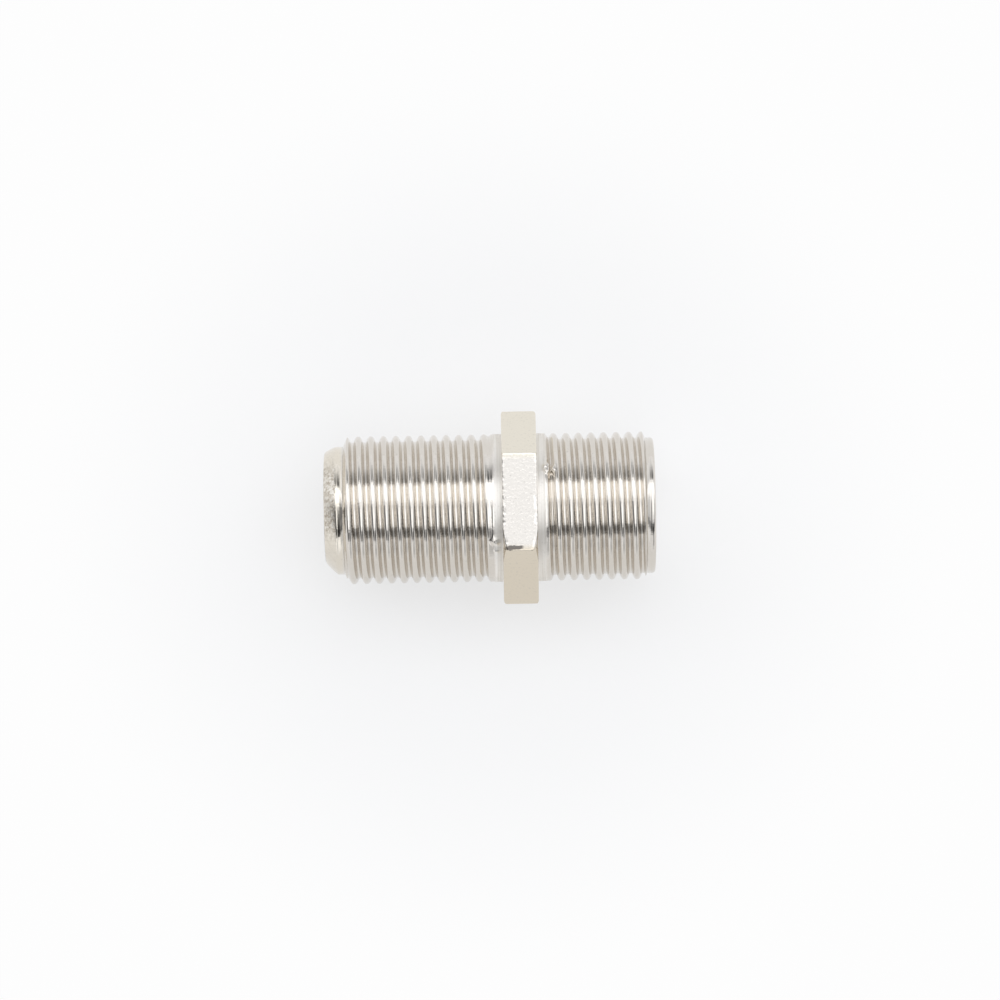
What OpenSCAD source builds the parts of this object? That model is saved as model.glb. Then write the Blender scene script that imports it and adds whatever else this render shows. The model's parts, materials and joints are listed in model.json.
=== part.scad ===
// Double-ended F splice: a threaded, nickel-plated shell with a hexagon flange that holds two plastic insulators and
// a double-ended spring contact. The barrel lies along X on one flat of its hexagon, the long end towards -X.
// The origin is on the barrel's axis, halfway between its two ends.
// Both ends carry a 3/8-32 UNEF right-hand thread, which is drawn here as a plain cylinder of its outside diameter.

/* [Shell] */
// Outside diameter of both threads
thread_d = 9.35; // [9.2:0.05:9.8]
// Length of the long end, from the hexagon to its tip
long_end_l = 11.2; // [9:0.1:16]
// Length of the short end, from the hexagon to its tip
short_end_l = 7.4; // [6:0.1:12]
// Width of the hexagon across its flats
hex_af = 10.6; // [10.4:0.1:13]
// Thickness of the hexagon along the barrel
hex_t = 2.2; // [1.6:0.1:4]
// How far the hexagon's corners are turned down
hex_chamfer = 0.25; // [0.1:0.05:0.6]

/* [Tips] */
// Diameter of the plain tip of the long end
long_tip_d = 8.1; // [7.9:0.05:8.7]
// Length of the plain tip of the long end
long_tip_l = 0.85; // [0.8:0.05:2]
// Radius of the edge that is rolled over the long end's insulator
rolled_edge_r = 0.7; // [0.3:0.05:0.7]
// Diameter of the plain tip of the short end
short_tip_d = 8.6; // [8.3:0.05:8.9]
// Length of the plain tip of the short end
short_tip_l = 0.45; // [0.4:0.05:1.5]
// Chamfer on the edge of the short tip
short_tip_chamfer = 0.25; // [0.1:0.05:0.35]

/* [Bore] */
// Diameter of the bore that holds the insulators
bore_d = 7.1; // [6.7:0.05:7.2]
// Diameter of the mouth at each end
mouth_d = 6.2; // [5.8:0.05:6.3]
// Thickness of the rolled rim at the long end
rim_t = 0.45; // [0.3:0.05:0.7]
// Thickness of the inner lip at the short end
lip_t = 0.6; // [0.4:0.05:1]
// Chamfer on the edge of each mouth
mouth_chamfer = 0.12; // [0.05:0.01:0.15]

/* [Insulators] */
// Clearance round each insulator
insulator_gap = 0.03; // [0.01:0.01:0.1]
// How far the insulators' faces lie below the ends of the shell
face_recess = 0.1; // [0.05:0.05:0.25]
// Thickness of the insulators' front wall behind the rim or lip
front_wall = 1.8; // [1.5:0.1:3]
// Diameter of the hole for the cable's centre wire
wire_hole_d = 1.6; // [1.3:0.05:2]
// Diameter of the funnel's mouth
funnel_d = 3.4; // [2.6:0.1:4.5]
// Depth of the funnel
funnel_l = 1; // [0.6:0.05:1.3]
// Diameter of the cavity round the contact
cavity_d = 3.5; // [3.2:0.05:4.2]

/* [Contact] */
// Outside diameter of the contact's tubes
contact_d = 2.4; // [2.2:0.05:2.8]
// Bore of the contact's tubes behind their throats
socket_d = 1.5; // [1.2:0.05:1.7]
// Diameter of the throat that grips the wire
throat_d = 0.8; // [0.6:0.05:1]
// Outside diameter at the tips of the tines
tine_tip_d = 2; // [1.9:0.05:2.1]
// Diameter of the lead-in at the tips of the tines
lead_in_d = 1.6; // [1.2:0.05:1.7]
// Length of the lead-in
lead_in_l = 0.5; // [0.3:0.05:0.8]
// Length over which the tines close in to the throat
taper_l = 2.2; // [1.5:0.1:3]
// Width of the slots between the tines
slot_w = 0.3; // [0.2:0.05:0.4]
// Length of the slots
slot_l = 6; // [4:0.1:6.5]
// Depth of each socket
socket_l = 7; // [6.6:0.1:7.5]
// Diameter of the collar that the insulators hold
collar_d = 5.6; // [4.6:0.1:6]
// Thickness of the collar
collar_t = 1; // [0.6:0.05:1.6]
// Space between the tines' tips and the insulators' front walls
tip_space = 0.3; // [0.2:0.05:0.6]

/* [Hidden] */
smooth = 96;

thread_r = thread_d / 2;
long_tip_r = long_tip_d / 2;
short_tip_r = short_tip_d / 2;
bore_r = bore_d / 2;
mouth_r = mouth_d / 2;
hex_corner_r = hex_af / 2 / cos(30);

// Places along the barrel
body_l = long_end_l + hex_t + short_end_l;
left_end = -body_l / 2;
right_end = body_l / 2;
hex_left = left_end + long_end_l;
hex_right = hex_left + hex_t;
rim_face = left_end + rim_t;
lip_face = right_end - lip_t;
meeting_plane = (rim_face + lip_face) / 2;
insulator_l = (lip_face - rim_face) / 2;
contact_half_l = insulator_l - front_wall - tip_space;

// A ring's section: from radius r0 to r1, and from a0 to a1 along the barrel
module ring(r0, r1, a0, a1) {
    translate([r0, a0]) square([r1 - r0, a1 - a0]);
}

// Turns a section, drawn as [radius, place along the barrel], about the barrel's axis
module turned() {
    rotate([0, 90, 0]) rotate_extrude($fn = smooth) children();
}

// A section's slope between two radii, as the cutter leaves it at 45 degrees
function slope(r0, r1) = abs(r1 - r0);

module threaded_ends() {
    polygon([
        [0, left_end + long_tip_l],
        [long_tip_r, left_end + long_tip_l],
        [thread_r, left_end + long_tip_l + slope(long_tip_r, thread_r)],
        [thread_r, right_end - short_tip_l - slope(short_tip_r, thread_r)],
        [short_tip_r, right_end - short_tip_l],
        [short_tip_r, right_end - short_tip_chamfer],
        [short_tip_r - short_tip_chamfer, right_end],
        [0, right_end]
    ]);
}

// The long end's tip, its edge rolled inwards in a quarter round
module rolled_tip() {
    thread_start = left_end + long_tip_l;
    ring(0, long_tip_r, left_end + rolled_edge_r, thread_start);
    ring(0, long_tip_r - rolled_edge_r, left_end, thread_start);
    translate([long_tip_r - rolled_edge_r, left_end + rolled_edge_r]) circle(r = rolled_edge_r, $fn = smooth);
}

// The hexagon, flat side down, with its corners turned down at 45 degrees on both sides
module hex_flange() {
    beyond = hex_chamfer;
    intersection() {
        translate([hex_left, 0, 0]) rotate([0, 90, 0]) rotate([0, 0, 30])
            cylinder(h = hex_t, r = hex_corner_r, $fn = 6);
        turned() polygon([
            [0, hex_left],
            [hex_corner_r - hex_chamfer, hex_left],
            [hex_corner_r + beyond, hex_left + hex_chamfer + beyond],
            [hex_corner_r + beyond, hex_right - hex_chamfer - beyond],
            [hex_corner_r - hex_chamfer, hex_right],
            [0, hex_right]
        ]);
    }
}

// The bore between the rim and the lip, and the mouth through each of them
module stepped_bore() {
    ring(0, bore_r, rim_face, lip_face);
    ring(0, mouth_r, left_end, right_end);
    for (end = [0, 1]) mirror([0, end]) polygon([
        [0, left_end],
        [mouth_r + mouth_chamfer, left_end],
        [mouth_r, left_end + mouth_chamfer],
        [0, left_end + mouth_chamfer]
    ]);
}

module shell() {
    color("#cdc7bd") difference() {
        union() {
            turned() {
                threaded_ends();
                rolled_tip();
            }
            hex_flange();
        }
        turned() stepped_bore();
    }
}

// One insulator: a cup with a boss that fills the shell's mouth, and a funnel through its front wall.
// It is drawn for the left end, with its shoulder at 0. seat_t is the thickness of the rim or lip it seats on.
module insulator(seat_t) {
    boss_h = seat_t - face_recess;
    boss_r = mouth_r - insulator_gap;
    collar_seat_r = collar_d / 2 + insulator_gap;
    turned() difference() {
        union() {
            ring(0, bore_r - insulator_gap, 0, insulator_l);
            ring(0, boss_r, -boss_h, front_wall);
        }
        polygon([
            [0, -boss_h],
            [funnel_d / 2, -boss_h],
            [wire_hole_d / 2, funnel_l - boss_h],
            [0, funnel_l - boss_h]
        ]);
        ring(0, wire_hole_d / 2, -boss_h, insulator_l);
        ring(0, cavity_d / 2, front_wall, insulator_l);
        ring(0, collar_seat_r, insulator_l - collar_t / 2, insulator_l);
    }
}

module insulator_left() {
    color("ivory") translate([rim_face, 0, 0]) insulator(rim_t);
}

module insulator_right() {
    color("ivory") translate([lip_face, 0, 0]) mirror([1, 0, 0]) insulator(lip_t);
}

// Half of the contact's section, from its middle to the tips of its tines
module contact_half() {
    throat_at = contact_half_l - lead_in_l;
    taper_from = throat_at - taper_l;
    socket_floor = contact_half_l - socket_l;
    ring(0, collar_d / 2, 0, collar_t / 2);
    polygon([
        [0, 0],
        [contact_d / 2, 0],
        [contact_d / 2, taper_from],
        [tine_tip_d / 2, throat_at],
        [tine_tip_d / 2, contact_half_l],
        [lead_in_d / 2, contact_half_l],
        [throat_d / 2, throat_at],
        [socket_d / 2, taper_from],
        [socket_d / 2, socket_floor],
        [0, socket_floor]
    ]);
}

// A tube with a socket in each end. Two crossing slots part each end into four tines, which close in to a throat.
module centre_contact() {
    color("#d8b878") translate([meeting_plane, 0, 0]) difference() {
        turned() for (end = [0, 1]) mirror([0, end]) contact_half();
        for (end = [-1, 1], turn = [0, 90])
            rotate([turn, 0, 0]) translate([end * contact_half_l, 0, 0])
                cube([2 * slot_l, 2 * contact_d, slot_w], center = true);
    }
}

shell();
insulator_left();
insulator_right();
centre_contact();
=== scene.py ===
"""Looks of a double-ended F splice: a nickel-plated threaded shell with a hexagon flange, round two funnel
insulators and a double-ended spring contact. The barrel lies along X on one flat of its hexagon, with its
long end towards -X. Sizes and places are in millimetres, and MM turns them into metres."""

import json
import math

import bmesh
import bpy
from mathutils import Matrix, Vector, noise


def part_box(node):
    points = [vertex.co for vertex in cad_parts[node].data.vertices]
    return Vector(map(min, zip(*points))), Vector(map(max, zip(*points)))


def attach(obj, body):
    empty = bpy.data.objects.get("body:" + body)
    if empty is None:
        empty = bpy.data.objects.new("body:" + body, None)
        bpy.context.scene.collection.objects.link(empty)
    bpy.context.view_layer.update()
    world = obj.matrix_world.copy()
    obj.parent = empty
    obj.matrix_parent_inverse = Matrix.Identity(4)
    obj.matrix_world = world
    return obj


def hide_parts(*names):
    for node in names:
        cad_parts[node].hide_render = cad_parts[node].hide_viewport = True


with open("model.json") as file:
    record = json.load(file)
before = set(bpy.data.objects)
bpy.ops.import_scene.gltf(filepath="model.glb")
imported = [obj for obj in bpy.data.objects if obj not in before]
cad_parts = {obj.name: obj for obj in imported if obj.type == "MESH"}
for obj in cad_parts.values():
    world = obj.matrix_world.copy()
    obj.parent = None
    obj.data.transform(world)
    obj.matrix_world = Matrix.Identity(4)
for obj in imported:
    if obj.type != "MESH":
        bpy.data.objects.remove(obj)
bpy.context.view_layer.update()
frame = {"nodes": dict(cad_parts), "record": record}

MM = 0.001


def mount(name):
    """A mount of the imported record, by its name."""
    return next(entry for entry in frame["record"]["mounts"] if entry["name"] == name)


# ---------------------------------------------------------------- sizes

# 3/8-32 UNEF thread with the soft crests and roots of a plated one
PITCH = 25.4 / 32
THREAD_R = mount("thread_long")["dims"]["r_mm"]
THREAD_DEPTH = 0.38
# Depth at which the two flanks of a groove would meet, if no root cut them short
FULL_DEPTH = 0.62
# The crest's flat, as a share of the pitch
CREST_FLAT = 0.1
ROOT_ROUNDING = 0.09
# Length over which the groove fades out beside the hexagon
RUN_OUT = 0.5
# Length over which the groove starts at the tip, and the slope of the cone that turns the first crest down
TIP_FADE = 0.12
TIP_SLOPE = 2.2
# Place of one crest of each thread, on the +Y side
LEFT_CREST = -4.285
RIGHT_CREST = 7.254
# The thread's mesh. Gathering is how strongly its rows draw together at the crests and roots.
COLUMNS = 120
ROWS_PER_PITCH = 20
ROW_GATHERING = 0.3

# Plain tips and bands
LONG_TIP_R = 4.05
LONG_TIP_L = 1.18
SHORT_TIP_R = 4.3
SHORT_TIP_L = 0.52
SHORT_TIP_ROUNDING = 0.22
LONG_BAND = 0.6
SHORT_BAND = 0.45
FILLET = 0.05
# Distances of the rings that hold an edge: on both sides of the fillet, and beside the thread's end
FILLET_SUPPORT = 0.03
BAND_SUPPORT = 0.02

# Rolled edge of the long end. It drops further on the -Y side, and its curve is straighter there.
ROLL_L = 0.78
ROLL_DROP_PLUS_Y = 0.38
ROLL_DROP_MINUS_Y = 0.74
ROLL_SPREAD = 0.7
ROLL_CURVE = 1.5
ROLL_CURVE_EASE = 0.3
ROLL_DEPTHS = (ROLL_L + 0.05, ROLL_L, 0.73, 0.67, 0.6, 0.5, 0.4, 0.3, 0.22, 0.15, 0.09, 0.05)
# Rounding of its front, as depth behind the face and way inward
ROLL_FRONT = ((0.02, 0.02), (0.005, 0.045), (0, 0.07))
ROLL_FACE_W = 0.16

# Bore and mouths
MOUTH_R = 3.1
MOUTH_ROUNDING = 0.1
BORE_R = 3.55
BORE_ROUNDING = 0.03
RIM_T = 0.45
LIP_T = 0.6

# Fine line turned round the short tip
LINE_DEPTH = 0.04
LINE_PLACE = 0.32
LINE_HALF_W = 0.03

# Hexagon. Its edges are broken, its corners turned down, and one corner is worn down further.
SIXTH = math.radians(60)
HEX_EDGE_ROUND = 0.1
HEX_EDGE_BREAK = 0.07
HEX_TURN_DOWN = 0.2
HEX_TURN_SLOPE = 0.5
HEX_WORN_CORNER = 0.62
HEX_WORN_ANGLE = 120
HEX_WORN_REACH = 26
HEX_FACE_INSET = 0.06
EDGE_ROWS = 6
EDGE_CURVE = 1.4
EDGE_RAG = 0.07
FLAT_RAG = 0.08
RAG_GRAIN_ALONG = 3
RAG_GRAIN_AROUND = 7
FLAT_STEPS = 56
CORNER_STEPS = 4

# Nodules of plating beside the hexagon: place, angle from +Y in degrees, size and height
NODULES = ((3.74, 62, 0.5, 0.3), (0.3, 121, 0.38, 0.17), (0.42, 129, 0.24, 0.13))
NODULE_GRAIN = 5.0
NODULE_FULLNESS = 0.7
# The mesh is made finer round a nodule, as far out as this many times its size
NODULE_REACH = 1.2
NODULE_CUTS = 3

# Insulators
FACE_RECESS = 0.1
INSULATOR_GAP = 0.03
BOSS_R = MOUTH_R - INSULATOR_GAP
BODY_R = BORE_R - INSULATOR_GAP
HOLE_R = mount("wire_hole_long")["dims"]["r_mm"]
FUNNEL_R = 1.7
FUNNEL_L = 1.0
FRONT_WALL = 1.8
CAVITY_R = 1.75
SEAT_R = 2.83
SEAT_L = 0.5
# Two rings that keep the front face flat, measured inward from the boss
FACE_RING_OUTER = 0.5
FACE_RING_INNER = 0.9

ROUNDING_STEPS = 4
WELD = 0.002

# ---------------------------------------------------------------- places along the barrel

shell_lo, shell_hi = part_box("shell")
LEFT_END = shell_lo.x / MM
RIGHT_END = shell_hi.x / MM
LEFT_THREAD = LEFT_END + LONG_TIP_L
RIGHT_THREAD = RIGHT_END - SHORT_TIP_L
HEX_LEFT = mount("seat_long")["pos_m"][0] / MM
HEX_RIGHT = mount("seat_short")["pos_m"][0] / MM
HEX_MIDDLE = (HEX_LEFT + HEX_RIGHT) / 2
LEFT_BAND = HEX_LEFT - LONG_BAND
RIGHT_BAND = HEX_RIGHT + SHORT_BAND
APOTHEM = shell_hi.z / MM
HEX_CORNER_R = APOTHEM / math.cos(SIXTH / 2)
RIM_FACE = LEFT_END + RIM_T
LIP_FACE = RIGHT_END - LIP_T
MEETING = (RIM_FACE + LIP_FACE) / 2

# ---------------------------------------------------------------- wear and finish

# Radii over which the threads' colour gives way to the hexagon's
HEX_TONE_R = (THREAD_R + 0.1, THREAD_R + 0.2)
# Brown film and painted shade on the flanks: how far off the root and the crest it starts, the distances from
# the top line over which the painted shade thickens, and the places over which it ends on the +Y side
FILM_AND_SHADE_FROM_ROOT = (0.02, 0.09)
FILM_AND_SHADE_FROM_CREST = (0.07, 0.16)
FILM_AND_SHADE_SIDES = (1.8, 3.0)
FILM_AND_SHADE_END = (3.7, 4.7)
# Places over which painted shade darkens the threads towards the -Y side
PAINTED_SHADE_SIDE = (-1.8, -3.0)
# Distance from the hexagon's middle at which the plain bands end
BAND_REACH = (1.68, 1.56)
# The nick in the hexagon's upper flat: its middle and half its size, along X and Y
NICK_X = 1.48
NICK_Y = -2.73
NICK_HALF_L = 0.6
NICK_HALF_W = 0.15
NICK_WAVER = 0.3
# The worn part of the rolled edge: how far it reaches from the left end, its ragged line, and its upper side
WORN_REACH = (1.02, 0.94)
WORN_RAG = 0.5
WORN_MIDDLE_Y = 0.4
WORN_SIDES = (2.6, 1.7)

# ---------------------------------------------------------------- studio

# Light levels round the barrel as (degrees from straight up towards +Y, level): for rays square to it, for
# rays that lean a little to the left or right, and for rays that lean far
WALL = 1.0
LIGHT = 1.6
STUDIO_SQUARE = (
    (-90, WALL), (-74, 0.7), (-64, 0.7), (-56, 0.95), (-50, 0.5), (-43, 0.4), (-38, 0.5), (-33, 1.2),
    (-28, 1.6), (-8, 1.5), (0, 1.16), (6, 1.16), (11, LIGHT), (37, LIGHT), (45, 0.75), (50, 0.6), (63, 0.65),
    (72, 0.95), (90, WALL))
STUDIO_LEFT = (
    (-90, WALL), (-75, 1.2), (-65, 1.25), (-57, 1.0), (-53, 0.06), (-42, 0.02), (-30, 0.1), (-15, 0.25),
    (-1, 0.6), (5, 1.2), (11, LIGHT), (37, LIGHT), (43, 0.3), (48, 0.15), (60, 0.4), (72, 0.8), (90, WALL))
STUDIO_RIGHT = (
    (-90, WALL), (-75, 0.55), (-65, 0.6), (-57, 0.45), (-53, 0.05), (-43, 0.02), (-38, 0.2), (-33, 0.8),
    (-15, 1.5), (-8, 1.6), (5, 1.6), (11, LIGHT), (37, LIGHT), (43, 0.2), (48, 0.15), (58, 0.35), (66, 0.75),
    (76, 1.0), (90, WALL))
STUDIO_FAR_LEFT = (
    (-90, WALL), (-75, 0.6), (-62, 0.75), (-55, 0.4), (-49, 0.1), (-33, 0.3), (-22, 0.2), (3, 0.25),
    (12, 0.6), (26, 1.2), (38, LIGHT), (44, 1.0), (60, 1.1), (90, WALL))
STUDIO_FAR_RIGHT = (
    (-90, WALL), (-75, 1.0), (-62, 0.9), (-55, 0.35), (-43, 0.3), (-33, 0.7), (12, 0.85), (26, 1.4),
    (38, LIGHT), (47, 1.45), (54, 0.85), (67, 0.9), (90, WALL))
# A colour ramp stops at 1, so it holds the levels divided by the studio's strength
STUDIO_STRENGTH = 2.0
# Leans, as the ray's X, over which one set of levels gives way to the next
SIDE_LEAN = 0.05
LITTLE_LEAN = (0.1, 0.2)
FAR_LEAN = (0.48, 0.7)

FLOOR_HALF = 3000
# Share of the paper's own white near the barrel and far from it, and the distances between which it rises.
# The lower share near the barrel leaves a painted shade on the paper round it.
WHITE_NEAR = 0.62
WHITE_FAR = 0.96
WHITE_RISE = (11, 31)

CAMERA_ELEVATION = math.radians(85.95)
CAMERA_ROLL = math.radians(1.03)
CAMERA_LENS = 180
CAMERA_SENSOR = 36
VIEW_WIDTH = 63.3
AIM_RIGHT = 0.65
AIM_UP = 0.506


def smoothstep(x):
    x = min(max(x, 0), 1)
    return x * x * (3 - 2 * x)


# ---------------------------------------------------------------- node trees


class Nodes:
    """Adds nodes to a tree and links them. An input is given as a socket or as a plain value."""

    def __init__(self, tree):
        self.tree = tree

    def node(self, kind, values=None, **settings):
        made = self.tree.nodes.new(kind)
        for key, value in settings.items():
            setattr(made, key, value)
        for key, value in (values or {}).items():
            self.put(made.inputs[key], value)
        return made

    def put(self, socket, value):
        if isinstance(value, bpy.types.NodeSocket):
            self.tree.links.new(value, socket)
        else:
            socket.default_value = value

    def math(self, operation, *values):
        return self.node("ShaderNodeMath", dict(enumerate(values)), operation=operation).outputs[0]

    def xyz(self, vector):
        return self.node("ShaderNodeSeparateXYZ", {0: vector}).outputs

    def vector(self, x, y, z):
        return self.node("ShaderNodeCombineXYZ", {0: x, 1: y, 2: z}).outputs[0]

    def length(self, x, y):
        flat = self.vector(x, y, 0)
        return self.node("ShaderNodeVectorMath", {0: flat}, operation="LENGTH").outputs["Value"]

    def share(self, value, start, end, shape="LINEAR"):
        """0 where the value is at start, 1 where it is at end, and held beyond both."""
        values = {"Value": value, "From Min": start, "From Max": end}
        return self.node("ShaderNodeMapRange", values, interpolation_type=shape).outputs[0]

    def share_mm(self, value, start, end):
        """The same, with start and end in millimetres."""
        return self.share(value, start * MM, end * MM)

    def blend(self, factor, first, second, way="MIX"):
        values = {0: factor, 6: first, 7: second}
        return self.node("ShaderNodeMix", values, data_type="RGBA", blend_type=way).outputs[2]

    def ramp(self, factor, stops):
        ramp = self.node("ShaderNodeValToRGB", {0: factor})
        marks = ramp.color_ramp.elements
        marks[0].position = 0
        marks[1].position = 1
        for place, _ in stops[1:-1]:
            marks.new(place)
        for mark, (place, colour) in zip(marks, stops):
            mark.position = place
            mark.color = (*colour, 1)
        return ramp.outputs[0]


# ---------------------------------------------------------------- the thread's tree

LENGTH_INPUTS = ("Start", "End", "Pitch", "Crest Place", "Outside Radius", "Depth", "Full Depth", "Rounding",
                 "Tip Place", "Tip Radius", "Tip Fade", "Fade Place", "Fade Length")
RATIO_INPUTS = ("Tip Slope", "Gathering", "Crest Flat")
COUNT_INPUTS = ("Columns", "Rows Per Pitch")


def add_thread_inputs(tree):
    for name in LENGTH_INPUTS + RATIO_INPUTS:
        tree.interface.new_socket(name, in_out="INPUT", socket_type="NodeSocketFloat")
    for name in COUNT_INPUTS:
        tree.interface.new_socket(name, in_out="INPUT", socket_type="NodeSocketInt")
    tree.interface.new_socket("Material", in_out="INPUT", socket_type="NodeSocketMaterial")


def helix_grid(n, size):
    """A grid whose rows follow the helix and whose ends are trimmed to two planes. Gives the grid, and each
    point's place along the barrel, turn round it and phase, which is a whole number on a crest."""
    start = size["Start"]
    end = size["End"]
    pitch = size["Pitch"]
    crest = size["Crest Place"]

    # The first row is a crest line at least one pitch before the start, so every column reaches both planes
    pitches_before = n.math("CEIL", n.math("DIVIDE", n.math("SUBTRACT", crest, start), pitch))
    first = n.math("SUBTRACT", crest, n.math("MULTIPLY", n.math("ADD", pitches_before, 1), pitch))
    turns = n.math("CEIL", n.math("DIVIDE", n.math("SUBTRACT", end, first), pitch))
    rows = n.math("MULTIPLY", turns, size["Rows Per Pitch"])
    grid = n.node("GeometryNodeMeshGrid", {
        "Size X": 1, "Size Y": 1,
        "Vertices X": n.math("ADD", size["Columns"], 1),
        "Vertices Y": n.math("ADD", rows, 1),
    })
    across, along, _ = n.xyz(n.node("GeometryNodeInputPosition").outputs[0])
    column = n.math("ROUND", n.math("MULTIPLY", n.math("ADD", across, 0.5), size["Columns"]))
    turn = n.math("DIVIDE", column, size["Columns"])
    row = n.math("ROUND", n.math("MULTIPLY", n.math("ADD", along, 0.5), rows))
    even = n.math("DIVIDE", row, size["Rows Per Pitch"])

    # Rows gather at the crests and roots
    wave = n.math("SINE", n.math("MULTIPLY", even, 4 * math.pi))
    pull = n.math("MULTIPLY", wave, n.math("DIVIDE", size["Gathering"], 4 * math.pi))
    gathered = n.math("SUBTRACT", even, pull)
    free_place = n.math("MULTIPLY_ADD", n.math("ADD", gathered, turn), pitch, first)
    place = n.math("MINIMUM", n.math("MAXIMUM", free_place, start), end)
    phase = n.math("SUBTRACT", n.math("DIVIDE", n.math("SUBTRACT", place, first), pitch), turn)
    return grid.outputs["Mesh"], place, turn, phase


def thread_radius(n, size, place, phase):
    """A narrow flat crest, flanks that fall away with the square of the distance, and a rounded root. The
    groove fades out towards the band, and at the tip a cone turns the crests down."""
    to_crest = n.math("ABSOLUTE", n.math("SUBTRACT", phase, n.math("ROUND", phase)))
    beyond_flat = n.math("SUBTRACT", n.math("MULTIPLY", to_crest, 2), size["Crest Flat"])
    flank_l = n.math("SUBTRACT", 1, size["Crest Flat"])
    down_flank = n.math("DIVIDE", n.math("MAXIMUM", beyond_flat, 0), flank_l)
    flank = n.math("MULTIPLY", n.math("MULTIPLY", down_flank, down_flank), size["Full Depth"])
    groove = n.math("SMOOTH_MIN", flank, size["Depth"], size["Rounding"])
    fade_way = n.math("ABSOLUTE", n.math("SUBTRACT", place, size["Fade Place"]))
    fade = n.share(fade_way, 0, size["Fade Length"], "SMOOTHSTEP")
    tip_way = n.math("ABSOLUTE", n.math("SUBTRACT", place, size["Tip Place"]))
    tip_fade = n.share(tip_way, 0, size["Tip Fade"], "SMOOTHSTEP")
    cut_depth = n.math("MULTIPLY", groove, n.math("MULTIPLY", fade, tip_fade))
    cut = n.math("SUBTRACT", size["Outside Radius"], cut_depth)
    cone = n.math("MULTIPLY_ADD", tip_way, size["Tip Slope"], size["Tip Radius"])
    return n.math("MINIMUM", cut, cone)


def thread_tree():
    """A cut thread between two planes, round the X axis."""
    tree = bpy.data.node_groups.new("cut_thread", "GeometryNodeTree")
    tree.interface.new_socket("Geometry", in_out="OUTPUT", socket_type="NodeSocketGeometry")
    add_thread_inputs(tree)
    n = Nodes(tree)
    size = n.node("NodeGroupInput").outputs
    grid, place, turn, phase = helix_grid(n, size)
    radius = thread_radius(n, size, place, phase)
    angle = n.math("MULTIPLY", turn, 2 * math.pi)
    position = n.vector(place, n.math("MULTIPLY", radius, n.math("COSINE", angle)),
                        n.math("MULTIPLY", radius, n.math("SINE", angle)))
    placed = n.node("GeometryNodeSetPosition", {"Geometry": grid, "Position": position})
    merged = n.node("GeometryNodeMergeByDistance", {"Geometry": placed.outputs[0], "Distance": WELD * MM / 2})
    smooth = n.node("GeometryNodeSetShadeSmooth", {"Geometry": merged.outputs[0]})
    real = n.node("GeometryNodeRealizeInstances", {"Geometry": smooth.outputs[0]})
    coated = n.node("GeometryNodeSetMaterial", {"Geometry": real.outputs[0], "Material": size["Material"]})
    n.node("NodeGroupOutput", {0: coated.outputs[0]})
    return tree


def cut_thread(tree, **values):
    """The plain mesh of one thread. The values are named as the tree's inputs, with lengths in
    millimetres."""
    host = bpy.data.objects.new("thread_host", bpy.data.meshes.new("thread_host"))
    bpy.context.scene.collection.objects.link(host)
    modifier = host.modifiers.new("cut_thread", "NODES")
    modifier.node_group = tree
    for item in tree.interface.items_tree:
        if item.in_out == "OUTPUT":
            continue
        value = values[item.name.lower().replace(" ", "_")]
        modifier[item.identifier] = value * MM if item.name in LENGTH_INPUTS else value
    evaluated = host.evaluated_get(bpy.context.evaluated_depsgraph_get())
    mesh = bpy.data.meshes.new_from_object(evaluated)
    host.modifiers.remove(modifier)
    bpy.data.objects.remove(host)
    return mesh


# ---------------------------------------------------------------- rings of vertices round the barrel


def ring(bm, place, radius):
    """A ring of vertices at one place along the barrel. radius is a number or a function of the angle."""
    made = []
    for step in range(COLUMNS):
        angle = 2 * math.pi * step / COLUMNS
        r = radius(angle) if callable(radius) else radius
        made.append(bm.verts.new(Vector((place, r * math.cos(angle), r * math.sin(angle))) * MM))
    return made


def skin(bm, first, second):
    """Quads between two rings of as many vertices."""
    count = len(first)
    for i in range(count):
        j = (i + 1) % count
        bm.faces.new((first[i], first[j], second[j], second[i]))


def chain(bm, rings):
    for first, second in zip(rings, rings[1:]):
        skin(bm, first, second)


def stitch(bm, first, second):
    """Triangles between two rings with different numbers of vertices, both from the same angle."""
    i = 0
    j = 0
    while i < len(first) or j < len(second):
        a = first[i % len(first)]
        b = second[j % len(second)]
        first_is_behind = i < len(first) and (i + 1) / len(first) <= (j + 1) / len(second)
        if j == len(second) or first_is_behind:
            i += 1
            bm.faces.new((a, first[i % len(first)], b))
        else:
            j += 1
            bm.faces.new((a, second[j % len(second)], b))


def rounded(corners):
    """A section line of (place, radius) from corners given as (place, radius, rounding)."""
    line = []
    for k, (place, radius, rounding) in enumerate(corners):
        here = Vector((place, radius))
        if not rounding:
            line.append(here)
            continue
        back = (Vector(corners[k - 1][:2]) - here).normalized()
        ahead = (Vector(corners[k + 1][:2]) - here).normalized()
        reach = rounding / math.tan(back.angle(ahead) / 2)
        for step in range(ROUNDING_STEPS + 1):
            t = step / ROUNDING_STEPS
            line.append(here + back * reach * (1 - t) ** 2 + ahead * reach * t**2)
    return line


def smooth_mesh(bm, name):
    """The finished mesh, shaded smooth. It uses the bmesh up."""
    for face in bm.faces:
        face.smooth = True
    mesh = bpy.data.meshes.new(name)
    bm.to_mesh(mesh)
    bm.free()
    return mesh


# ---------------------------------------------------------------- the shell


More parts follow.
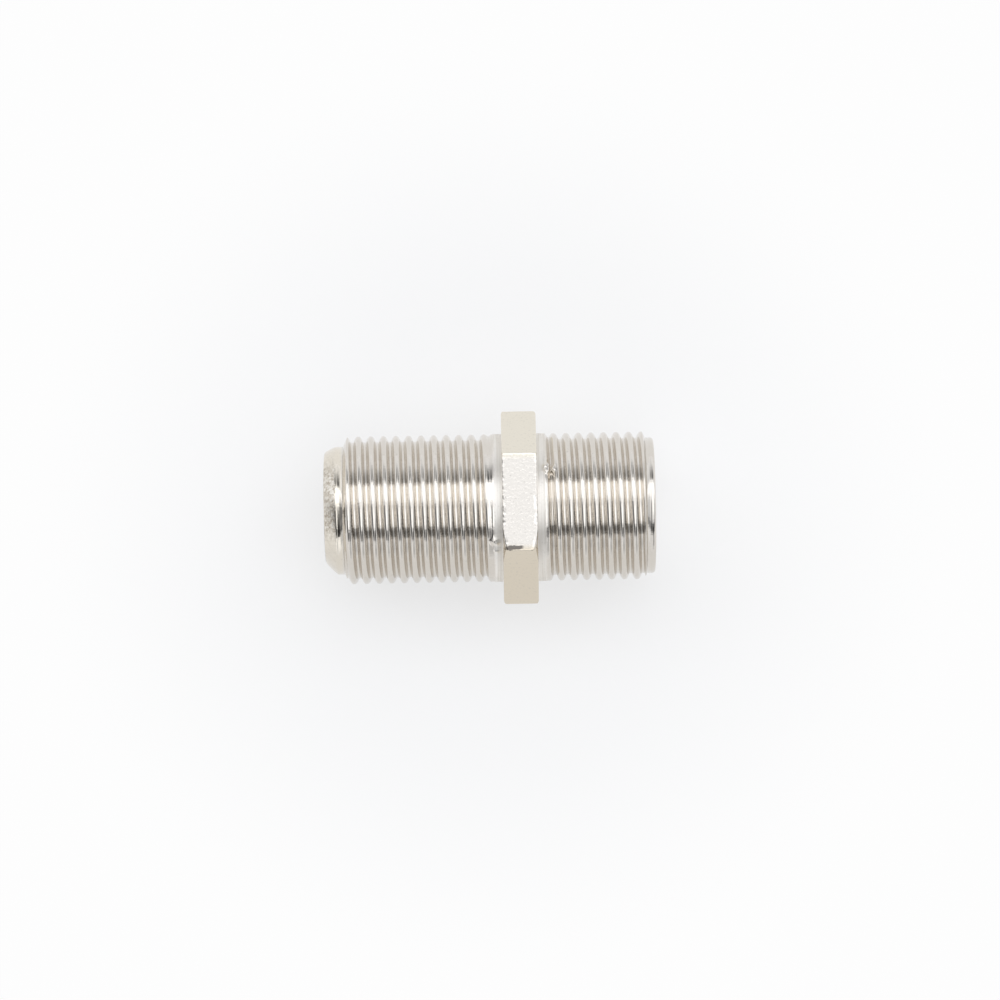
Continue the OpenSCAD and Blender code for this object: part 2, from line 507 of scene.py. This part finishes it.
def cut_threads(material):
    """The meshes of the long and the short thread."""
    tree = thread_tree()
    common = dict(
        material=material, pitch=PITCH, outside_radius=THREAD_R, depth=THREAD_DEPTH, full_depth=FULL_DEPTH,
        crest_flat=CREST_FLAT, rounding=ROOT_ROUNDING, tip_slope=TIP_SLOPE, tip_fade=TIP_FADE,
        fade_length=RUN_OUT, gathering=ROW_GATHERING, columns=COLUMNS, rows_per_pitch=ROWS_PER_PITCH)
    long_thread = cut_thread(
        tree, start=LEFT_THREAD, end=LEFT_BAND, crest_place=LEFT_CREST, tip_place=LEFT_THREAD,
        tip_radius=LONG_TIP_R, fade_place=LEFT_BAND, **common)
    short_thread = cut_thread(
        tree, start=RIGHT_BAND, end=RIGHT_THREAD, crest_place=RIGHT_CREST, tip_place=RIGHT_THREAD,
        tip_radius=SHORT_TIP_R, fade_place=RIGHT_BAND, **common)
    return long_thread, short_thread


def roll_radius(depth):
    """Outside radius of the rolled tip at a depth behind its face, as a function of the angle."""
    part = max(1 - depth / ROLL_L, 0)

    def at(angle):
        minus_y = smoothstep(ROLL_SPREAD * (1 - math.cos(angle)))
        drop = ROLL_DROP_PLUS_Y + (ROLL_DROP_MINUS_Y - ROLL_DROP_PLUS_Y) * minus_y
        return LONG_TIP_R - drop * part ** (ROLL_CURVE - ROLL_CURVE_EASE * minus_y)

    return at


def rolled_tip_rings(bm):
    """Rings from the long thread over the rolled edge to the left face."""
    rings = [ring(bm, LEFT_THREAD, LONG_TIP_R)]
    for depth in ROLL_DEPTHS:
        rings.append(ring(bm, LEFT_END + depth, roll_radius(depth)))
    front = roll_radius(0)
    for depth, inward in ROLL_FRONT:
        rings.append(ring(bm, LEFT_END + depth, lambda angle: front(angle) - inward))
    return rings


def bore_rings(bm):
    """Rings from the left face through the bore and round the short tip to its thread."""
    line = rounded([
        (LEFT_END, MOUTH_R + ROLL_FACE_W, 0),
        (LEFT_END, MOUTH_R, MOUTH_ROUNDING),
        (RIM_FACE, MOUTH_R, BORE_ROUNDING),
        (RIM_FACE, BORE_R, BORE_ROUNDING),
        (LIP_FACE, BORE_R, BORE_ROUNDING),
        (LIP_FACE, MOUTH_R, BORE_ROUNDING),
        (RIGHT_END, MOUTH_R, MOUTH_ROUNDING),
        (RIGHT_END, SHORT_TIP_R, SHORT_TIP_ROUNDING),
        (RIGHT_END - LINE_PLACE + LINE_HALF_W, SHORT_TIP_R, 0),
        (RIGHT_END - LINE_PLACE, SHORT_TIP_R - LINE_DEPTH, 0),
        (RIGHT_END - LINE_PLACE - LINE_HALF_W, SHORT_TIP_R, 0),
        (RIGHT_THREAD, SHORT_TIP_R, 0),
    ])
    return [ring(bm, place, radius) for place, radius in line]


def direction(angle):
    return Vector((math.cos(angle), math.sin(angle)))


def corner_point(corner, turn):
    """A point on a rounded corner of the hexagon, turned from the corner's middle."""
    centre = direction(corner) * (APOTHEM - HEX_EDGE_ROUND) / math.cos(SIXTH / 2)
    return centre + HEX_EDGE_ROUND * direction(corner + turn)


def hex_outline():
    """Points round the hexagon, starting in the middle of its +Y corner."""
    points = []
    half_flat = (APOTHEM - HEX_EDGE_ROUND) * math.tan(SIXTH / 2)
    for side in range(6):
        corner = SIXTH * side
        normal = direction(corner + SIXTH / 2)
        tangent = Vector((-normal.y, normal.x))
        for step in range(CORNER_STEPS // 2):
            points.append(corner_point(corner, SIXTH * step / CORNER_STEPS))
        for step in range(FLAT_STEPS + 1):
            points.append(normal * APOTHEM + tangent * half_flat * (2 * step / FLAT_STEPS - 1))
        for step in range(1, CORNER_STEPS // 2):
            points.append(corner_point(corner + SIXTH, SIXTH * (step / CORNER_STEPS - 0.5)))
    return points


def edge_size(point):
    """How far the hexagon's edge is broken at a point of its outline."""
    away = abs(math.degrees(math.atan2(point.y, point.x)) - HEX_WORN_ANGLE)
    worn = smoothstep(2 * (1 - away / HEX_WORN_REACH))
    turned_down = HEX_TURN_DOWN + (HEX_WORN_CORNER - HEX_TURN_DOWN) * worn
    return max(HEX_EDGE_BREAK, point.length - HEX_CORNER_R + turned_down)


def hex_ring(bm, outline, face, way, inward=0.0, along=1.0, to_middle=0.0, rag=0.0, inset=0.0):
    """A ring round the hexagon. inward and along are shares of the broken edge's size, and to_middle is the
    share of the way from there to the hexagon's middle. way is the direction along X from the face to it."""
    made = []
    half = (HEX_RIGHT - HEX_LEFT) / 2
    for point in outline:
        size = edge_size(point)
        edge_l = max(HEX_EDGE_BREAK, size * HEX_TURN_SLOPE)
        place = face + way * (along * edge_l + to_middle * (half - edge_l))
        grain = Vector((place * RAG_GRAIN_ALONG, point.x * RAG_GRAIN_AROUND, point.y * RAG_GRAIN_AROUND))
        ragged = noise.noise(grain) * rag
        spot = point - point.normalized() * (inward * size + inset + max(ragged, 0))
        made.append(bm.verts.new(Vector((place, spot.x, spot.y)) * MM))
    return made


def hex_section():
    """Settings of the rings from a face of the hexagon over its rounded, ragged edge to its middle."""
    section = [dict(inward=1, along=0, inset=HEX_FACE_INSET)]
    for k in range(EDGE_ROWS + 1):
        angle = math.pi / 2 * k / EDGE_ROWS
        section.append(dict(inward=1 - math.sin(angle) ** EDGE_CURVE, along=1 - math.cos(angle) ** EDGE_CURVE,
                            rag=EDGE_RAG))
    section.append(dict(to_middle=0.03, rag=FLAT_RAG))
    for share in (0.1, 0.22, 0.45, 0.75, 1):
        section.append(dict(to_middle=share))
    return section


def hex_rings(bm):
    """Rings over the hexagon from its left face to its right face."""
    outline = hex_outline()
    section = hex_section()
    left_half = [hex_ring(bm, outline, HEX_LEFT, 1, **settings) for settings in section]
    right_half = [hex_ring(bm, outline, HEX_RIGHT, -1, **settings) for settings in reversed(section[:-1])]
    return left_half + right_half


def collar_rings(bm, band, face, out):
    """Rings over a plain band, from the thread's end to a face of the hexagon. out points away from the
    hexagon."""
    line = [(band, THREAD_R), (band - BAND_SUPPORT * out, THREAD_R)]
    line.append((face + (FILLET + FILLET_SUPPORT) * out, THREAD_R))
    for t in (0, 0.3, 0.6, 1):
        line.append((face + out * FILLET * (1 - t) ** 2, THREAD_R + FILLET * t**2))
    line.append((face, THREAD_R + FILLET + FILLET_SUPPORT))
    return [ring(bm, place, radius) for place, radius in line]


def raise_nodule(bm, place, angle, size, height):
    """Works a small irregular nodule of plating into the surface at one place and angle round the barrel."""
    centre = Vector((place, THREAD_R * math.cos(angle), THREAD_R * math.sin(angle))) * MM
    reach = size * NODULE_REACH * MM
    near = [face for face in bm.faces if (face.calc_center_median() - centre).length < reach]
    edges = list({edge for face in near for edge in face.edges})
    bmesh.ops.subdivide_edges(bm, edges=edges, cuts=NODULE_CUTS, use_grid_fill=True)
    bm.normal_update()
    moved = []
    for vert in bm.verts:
        distance = (vert.co - centre).length / (size * MM)
        if distance < 1:
            lump = NODULE_FULLNESS + noise.noise(vert.co / MM * NODULE_GRAIN)
            moved.append((vert, vert.normal * (height * MM * (1 - distance**2) ** 2 * lump)))
    for vert, move in moved:
        vert.co += move


def shell_mesh(material):
    """One closed mesh of the shell: the two cut threads, the hexagon, the rolled tip and the bore, welded."""
    threads = cut_threads(material)
    bm = bmesh.new()
    for thread in threads:
        bm.from_mesh(thread)
    chain(bm, rolled_tip_rings(bm) + bore_rings(bm))
    hexagon = hex_rings(bm)
    chain(bm, hexagon)
    for band, face, out, hex_face in (
            (LEFT_BAND, HEX_LEFT, -1, hexagon[0]),
            (RIGHT_BAND, HEX_RIGHT, 1, hexagon[-1])):
        collar = collar_rings(bm, band, face, out)
        chain(bm, collar)
        stitch(bm, collar[-1], hex_face)
    bmesh.ops.remove_doubles(bm, verts=bm.verts, dist=WELD * MM)
    bmesh.ops.recalc_face_normals(bm, faces=bm.faces)
    for place, degrees, size, height in NODULES:
        raise_nodule(bm, place, math.radians(degrees), size, height)
    return smooth_mesh(bm, "shell_plated")


# ---------------------------------------------------------------- insulators


def insulator_mesh(name, face, shoulder):
    """A moulded cup with a funnel in its front wall. It is drawn from its front face towards the middle."""
    inward = 1 if MEETING > face else -1
    line = rounded([
        (face, BOSS_R - FACE_RING_OUTER, 0),
        (face, BOSS_R, 0.08),
        (shoulder, BOSS_R, 0.03),
        (shoulder, BODY_R, 0.1),
        (MEETING, BODY_R, 0.05),
        (MEETING, SEAT_R, 0.03),
        (MEETING - inward * SEAT_L, SEAT_R, 0.03),
        (MEETING - inward * SEAT_L, CAVITY_R, 0.03),
        (shoulder + inward * FRONT_WALL, CAVITY_R, 0.05),
        (shoulder + inward * FRONT_WALL, HOLE_R, 0.03),
        (face + inward * FUNNEL_L, HOLE_R, 0.08),
        (face, FUNNEL_R, 0.12),
        (face, BOSS_R - FACE_RING_INNER, 0),
    ])
    bm = bmesh.new()
    rings = [ring(bm, place, radius) for place, radius in line]
    chain(bm, rings + rings[:1])
    bmesh.ops.recalc_face_normals(bm, faces=bm.faces)
    return smooth_mesh(bm, name)


# ---------------------------------------------------------------- materials


def new_material(name):
    """A material with an empty tree, its node helper and the object's own coordinates."""
    material = bpy.data.materials.new(name)
    material.use_nodes = True
    material.node_tree.nodes.clear()
    n = Nodes(material.node_tree)
    return material, n, n.node("ShaderNodeTexCoord").outputs["Object"]


def finish_material(n, shader):
    n.node("ShaderNodeOutputMaterial", {"Surface": shader.outputs[0]})


def noise_at(n, where, scale, detail=2.0, roughness=0.5):
    return n.node("ShaderNodeTexNoise", {
        "Vector": where, "Scale": scale, "Detail": detail, "Roughness": roughness,
    }).outputs["Fac"]


def bumped(n, height, distance, strength=1.0, normal=None):
    values = {"Height": height, "Distance": distance, "Strength": strength}
    if normal is not None:
        values["Normal"] = normal
    return n.node("ShaderNodeBump", values).outputs[0]


def plate_tone_and_painted_hex_light(n, x, y, patches, on_hexagon):
    """Colour of the plate before wear: warmer on the rolled tip. On the hexagon the +Y sloping flat is
    painted lighter and the -Y sloping flat painted darker and browner, painted light and painted shade on one
    plate.
    """
    plated = n.ramp(patches, [(0, (0.70, 0.66, 0.60)), (0.5, (0.74, 0.70, 0.645)), (1, (0.76, 0.725, 0.67))])
    # Painted light and shade across the hexagon: lighter on the +Y flat, darker and browner on the -Y flat,
    # with the middle flat between
    hexagon_painted_light_and_shade = n.ramp(n.share_mm(y, -4, 4), [
        (0, (0.69, 0.62, 0.51)), (0.13, (0.70, 0.63, 0.52)), (0.17, (0.765, 0.73, 0.68)),
        (0.83, (0.765, 0.73, 0.68)), (0.87, (0.83, 0.78, 0.675)), (1, (0.83, 0.78, 0.675))])
    tone = n.blend(on_hexagon, plated, hexagon_painted_light_and_shade)
    on_tip = n.share_mm(x, LEFT_THREAD, LEFT_THREAD - 0.1)
    return n.blend(on_tip, tone, (0.81, 0.755, 0.66, 1))


def film_and_painted_shade_share(n, y, around, patches):
    """Darkening on the flanks of the threads, in patches: partly brown film and partly painted shade in the
    grooves, kept thin along the barrel's top line and thicker towards the sides.
    """
    root_r = THREAD_R - THREAD_DEPTH
    off_root = n.share_mm(around, root_r + FILM_AND_SHADE_FROM_ROOT[0], root_r + FILM_AND_SHADE_FROM_ROOT[1])
    off_crest = n.share_mm(around, THREAD_R - FILM_AND_SHADE_FROM_CREST[0], THREAD_R - FILM_AND_SHADE_FROM_CREST[1])
    groove_film_and_shade = n.math("MULTIPLY", n.math("MULTIPLY", off_root, off_crest), n.share(patches, 0.3, 0.7))
    sides = n.math("MULTIPLY_ADD", n.share_mm(n.math("ABSOLUTE", y), *FILM_AND_SHADE_SIDES), 0.28, 0.08)
    sides = n.math("MULTIPLY", sides, n.math("SUBTRACT", 1, n.share_mm(y, *FILM_AND_SHADE_END)))
    return n.math("MULTIPLY", groove_film_and_shade, sides)


def nick_share(n, where, x, y, z):
    """A ragged nick along the front edge of the hexagon's upper flat."""
    waver = n.math("MULTIPLY_ADD", noise_at(n, where, 3500), NICK_WAVER * MM, y)
    along = n.math("MULTIPLY", n.math("SUBTRACT", x, NICK_X * MM), 1 / (NICK_HALF_L * MM))
    across = n.math("MULTIPLY", n.math("SUBTRACT", waver, NICK_Y * MM), 1 / (NICK_HALF_W * MM))
    on_flat = n.share_mm(z, APOTHEM - 0.4, APOTHEM - 0.3)
    return n.math("MULTIPLY", n.share(n.length(along, across), 1.1, 0.8), on_flat)


def worn_share(n, where, x, y):
    """The rolled edge has lost its shine, up to a ragged line, and most on its upper side."""
    ragged = n.math("MULTIPLY_ADD", noise_at(n, where, 2600, 4.0, roughness=0.65), WORN_RAG * MM, x)
    worn = n.share_mm(ragged, LEFT_END + WORN_REACH[0], LEFT_END + WORN_REACH[1])
    from_middle = n.math("ABSOLUTE", n.math("SUBTRACT", y, WORN_MIDDLE_Y * MM))
    upper_side = n.share_mm(from_middle, *WORN_SIDES)
    return n.math("MULTIPLY", worn, n.math("MULTIPLY_ADD", upper_side, 0.85, 0.15))


def nickel_plate():
    """Bright nickel with a slight orange peel. The threads' flanks carry brown film and painted shade, the
    threads get painted shade towards the -Y side, and the hexagon's sloping flats are painted lighter and
    darker. The plain bands are duller, the hexagon has a dark nick, and the rolled edge is worn to a speckled
    grey."""
    material, n, where = new_material("nickel_plate")
    x, y, z = n.xyz(where)
    around = n.math("SQRT", n.math("ADD", n.math("MULTIPLY", y, y), n.math("MULTIPLY", z, z)))
    patches = noise_at(n, where, 700, 3.0)
    specks = noise_at(n, where, 4500, 3.0, roughness=0.7)
    rings = n.node("ShaderNodeMapping", {"Vector": where, "Scale": (1.0, 0.02, 0.02)}).outputs[0]

    # Where each finish lies
    on_hexagon = n.share_mm(around, *HEX_TONE_R)
    off_hexagon = n.math("SUBTRACT", 1, on_hexagon)
    # Mask of painted shade on the threads towards the -Y side, off the hexagon
    painted_shade_side = n.math("MULTIPLY", n.share_mm(y, *PAINTED_SHADE_SIDE), off_hexagon)
    from_middle = n.math("ABSOLUTE", n.math("SUBTRACT", x, HEX_MIDDLE * MM))
    on_band = n.math("MULTIPLY", n.share_mm(from_middle, *BAND_REACH), off_hexagon)
    nick = nick_share(n, where, x, y, z)
    worn = worn_share(n, where, x, y)
    pitted = n.share(noise_at(n, where, 7000, 2.0), 0.60, 0.72)

    band_tone = n.ramp(noise_at(n, rings, 8000), [(0.35, (0.76, 0.725, 0.665)), (0.65, (0.91, 0.88, 0.835))])
    worn_tone = n.ramp(specks, [
        (0.37, (0.36, 0.31, 0.25)), (0.5, (0.62, 0.57, 0.49)), (0.62, (0.82, 0.79, 0.73))])
    tone = plate_tone_and_painted_hex_light(n, x, y, patches, on_hexagon)
    # Painted shade: the threads are darker towards the -Y side
    tone = n.blend(n.math("MULTIPLY", painted_shade_side, 0.3), tone, (0.52, 0.48, 0.42, 1))
    # Brown film and painted shade on the thread flanks
    tone = n.blend(film_and_painted_shade_share(n, y, around, patches), tone, (0.44, 0.38, 0.32, 1))
    tone = n.blend(on_band, tone, band_tone)
    tone = n.blend(n.math("MULTIPLY", nick, 0.85), tone, (0.10, 0.09, 0.085, 1))
    tone = n.blend(n.math("MULTIPLY", worn, 0.8), tone, worn_tone)
    tone = n.blend(n.math("MULTIPLY", pitted, 0.22), tone, (0.40, 0.37, 0.33, 1))

    peel = noise_at(n, where, 5500, 2.0)
    fine = noise_at(n, where, 16000, 2.0)
    turned = noise_at(n, rings, 22000)
    normal = bumped(n, peel, 5e-6)
    normal = bumped(n, peel, 7e-6, strength=on_hexagon, normal=normal)
    normal = bumped(n, fine, 1.2e-6, normal=normal)
    normal = bumped(n, turned, 1e-6, normal=normal)
    normal = bumped(n, turned, 6e-6, strength=on_band, normal=normal)
    normal = bumped(n, specks, 22e-6, strength=worn, normal=normal)
    rough = n.node("ShaderNodeMapRange", {"Value": patches, "To Min": 0.05, "To Max": 0.09}).outputs[0]
    rough = n.math("MULTIPLY_ADD", worn, 0.2, rough)
    rough = n.math("MULTIPLY_ADD", on_band, 0.38, rough)
    finish_material(n, n.node("ShaderNodeBsdfPrincipled", {
        "Base Color": tone, "Metallic": 1.0, "Roughness": rough, "Normal": normal}))
    return material


def insulator_plastic():
    """Natural white moulded plastic with faint clouds."""
    material, n, where = new_material("insulator_plastic")
    clouds = noise_at(n, where, 500, 3.0)
    tone = n.ramp(clouds, [(0, (0.82, 0.795, 0.73)), (1, (0.88, 0.865, 0.81))])
    grain = noise_at(n, where, 9000, 3.0)
    finish_material(n, n.node("ShaderNodeBsdfPrincipled", {
        "Base Color": tone, "Roughness": 0.42, "Subsurface Weight": 0.1, "Subsurface Scale": 0.001,
        "Normal": bumped(n, grain, 4e-6)}))
    return material


def spring_bronze():
    """Turned spring bronze with fine marks round it."""
    material, n, where = new_material("spring_bronze")
    clouds = noise_at(n, where, 1500, 3.0)
    tone = n.ramp(clouds, [(0, (0.74, 0.55, 0.30)), (1, (0.84, 0.66, 0.40))])
    stretched = n.node("ShaderNodeMapping", {"Vector": where, "Scale": (1.0, 0.05, 0.05)}).outputs[0]
    marks = noise_at(n, stretched, 30000, 2.0)
    finish_material(n, n.node("ShaderNodeBsdfPrincipled", {
        "Base Color": tone, "Metallic": 1.0, "Roughness": 0.28, "Normal": bumped(n, marks, 3e-6)}))
    return material


def floor_paper():
    """Pale paper. Rays that show it take part of their light from the paper's own white, so the shadow on it
    stays light. Away from the barrel, the camera sees more of that white, so the paper near the barrel is
    darker: a painted shade round it besides its real shadow."""
    material, n, where = new_material("floor_paper")
    fibres = noise_at(n, where, 900, 2.0)
    tone = n.ramp(fibres, [(0, (0.93, 0.93, 0.93)), (1, (0.945, 0.945, 0.945))])
    paper = n.node("ShaderNodeBsdfDiffuse", {"Color": tone})
    white = n.node("ShaderNodeEmission", {"Color": (0.99, 0.99, 0.99, 1), "Strength": 1.0})
    path = n.node("ShaderNodeLightPath").outputs
    reflected = n.math("MAXIMUM", path["Is Glossy Ray"], path["Is Transmission Ray"])
    x, y, _ = n.xyz(where)
    # Painted shade: the camera sees less of the white near the barrel, so the paper there is darker
    white_share = n.node("ShaderNodeMapRange", {
        "Value": n.length(x, y), "From Min": WHITE_RISE[0] * MM, "From Max": WHITE_RISE[1] * MM,
        "To Min": WHITE_NEAR, "To Max": WHITE_FAR,
    }, interpolation_type="SMOOTHSTEP").outputs[0]
    share = n.math("MAXIMUM", n.math("MULTIPLY", path["Is Camera Ray"], white_share),
                   n.math("MULTIPLY", reflected, WHITE_NEAR))
    finish_material(n, n.node("ShaderNodeMixShader", {0: share, 1: paper.outputs[0], 2: white.outputs[0]}))
    return material


# ---------------------------------------------------------------- the scene round the object


def level_ramp(n, turn, levels):
    """Studio levels round the barrel, from marks of (degrees from straight up towards +Y, level)."""
    stops = [((degrees + 180) / 360, (level / STUDIO_STRENGTH,) * 3) for degrees, level in levels]
    return n.ramp(turn, [(0, stops[0][1]), *stops, (1, stops[-1][1])])


def studio_world():
    """A soft studio round the barrel: pale walls, a large soft light over the +Y side, and dark gaps beside
    it. The camera sees plain white beyond the floor."""
    world = bpy.data.worlds.new("studio")
    world.use_nodes = True
    world.node_tree.nodes.clear()
    n = Nodes(world.node_tree)
    x, y, z = n.xyz(n.node("ShaderNodeTexCoord").outputs["Generated"])
    turn = n.math("MULTIPLY_ADD", n.math("ARCTAN2", y, z), 1 / (2 * math.pi), 0.5)
    lean = n.math("ABSOLUTE", x)
    to_right = n.share(x, -SIDE_LEAN, SIDE_LEAN, "SMOOTHSTEP")
    sides = n.blend(to_right, level_ramp(n, turn, STUDIO_LEFT), level_ramp(n, turn, STUDIO_RIGHT))
    far_sides = n.blend(to_right, level_ramp(n, turn, STUDIO_FAR_LEFT), level_ramp(n, turn, STUDIO_FAR_RIGHT))
    tone = n.blend(n.share(lean, *LITTLE_LEAN, "SMOOTHSTEP"), level_ramp(n, turn, STUDIO_SQUARE), sides)
    tone = n.blend(n.share(lean, *FAR_LEAN, "SMOOTHSTEP"), tone, far_sides)
    cool = n.blend(1.0, tone, (0.985, 1.0, 1.03, 1), "MULTIPLY")
    studio = n.node("ShaderNodeBackground", {"Color": cool, "Strength": STUDIO_STRENGTH})
    white = n.node("ShaderNodeBackground", {"Color": (1, 1, 1, 1), "Strength": 1.0})
    path = n.node("ShaderNodeLightPath").outputs
    seen = n.math("MAXIMUM", path["Is Camera Ray"], path["Is Transmission Ray"])
    mix = n.node("ShaderNodeMixShader", {0: seen, 1: studio.outputs[0], 2: white.outputs[0]})
    n.node("ShaderNodeOutputWorld", {"Surface": mix.outputs[0]})
    bpy.context.scene.world = world


def studio_floor(height):
    half = FLOOR_HALF * MM
    mesh = bpy.data.meshes.new("floor")
    corners = [(-half, -half, height), (half, -half, height), (half, half, height), (-half, half, height)]
    mesh.from_pydata(corners, [], [(0, 1, 2, 3)])
    mesh.materials.append(floor_paper())
    floor = bpy.data.objects.new("floor", mesh)
    bpy.context.scene.collection.objects.link(floor)


def studio_camera(centre):
    """Looks down steeply from the -Y side, turned so that the barrel's short end lies a little higher."""
    back = Vector((0, -math.cos(CAMERA_ELEVATION), math.sin(CAMERA_ELEVATION)))
    level_up = Vector((0, math.sin(CAMERA_ELEVATION), math.cos(CAMERA_ELEVATION)))
    level_right = Vector((1, 0, 0))
    right = level_right * math.cos(CAMERA_ROLL) - level_up * math.sin(CAMERA_ROLL)
    up = level_right * math.sin(CAMERA_ROLL) + level_up * math.cos(CAMERA_ROLL)
    aim = centre + right * AIM_RIGHT * MM + up * AIM_UP * MM
    camera = bpy.data.objects.new("camera", bpy.data.cameras.new("camera"))
    camera.data.lens = CAMERA_LENS
    camera.data.sensor_width = CAMERA_SENSOR
    camera.data.clip_start = 0.01
    camera.data.clip_end = 20
    place = aim + back * (VIEW_WIDTH * MM) * CAMERA_LENS / CAMERA_SENSOR
    camera.matrix_world = Matrix.Translation(place) @ Matrix((right, up, back)).transposed().to_4x4()
    bpy.context.scene.collection.objects.link(camera)
    bpy.context.scene.camera = camera


# ---------------------------------------------------------------- the object


def add_piece(name, mesh, material, node):
    """Puts a finished mesh in the scene in place of a CAD node."""
    if material.name not in mesh.materials:
        mesh.materials.clear()
        mesh.materials.append(material)
    piece = bpy.data.objects.new(name, mesh)
    bpy.context.scene.collection.objects.link(piece)
    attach(piece, "root")
    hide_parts(node)


def add_shell():
    nickel = nickel_plate()
    add_piece("shell_plated", shell_mesh(nickel), nickel, "shell")


def add_insulators():
    plastic = insulator_plastic()
    for name, face, shoulder, node in (
            ("insulator_long_end", LEFT_END + FACE_RECESS, RIM_FACE, "insulator_left"),
            ("insulator_short_end", RIGHT_END - FACE_RECESS, LIP_FACE, "insulator_right")):
        add_piece(name, insulator_mesh(name, face, shoulder), plastic, node)


def coat_contact():
    """The centre contact is shown as it is in the frame, in bronze."""
    bronze = spring_bronze()
    for material_slot in frame["nodes"]["centre_contact"].material_slots:
        material_slot.material = bronze


studio_world()
studio_floor(shell_lo.z)
studio_camera((shell_lo + shell_hi) / 2)
add_shell()
add_insulators()
coat_contact()

bpy.context.scene.view_settings.view_transform = "Standard"
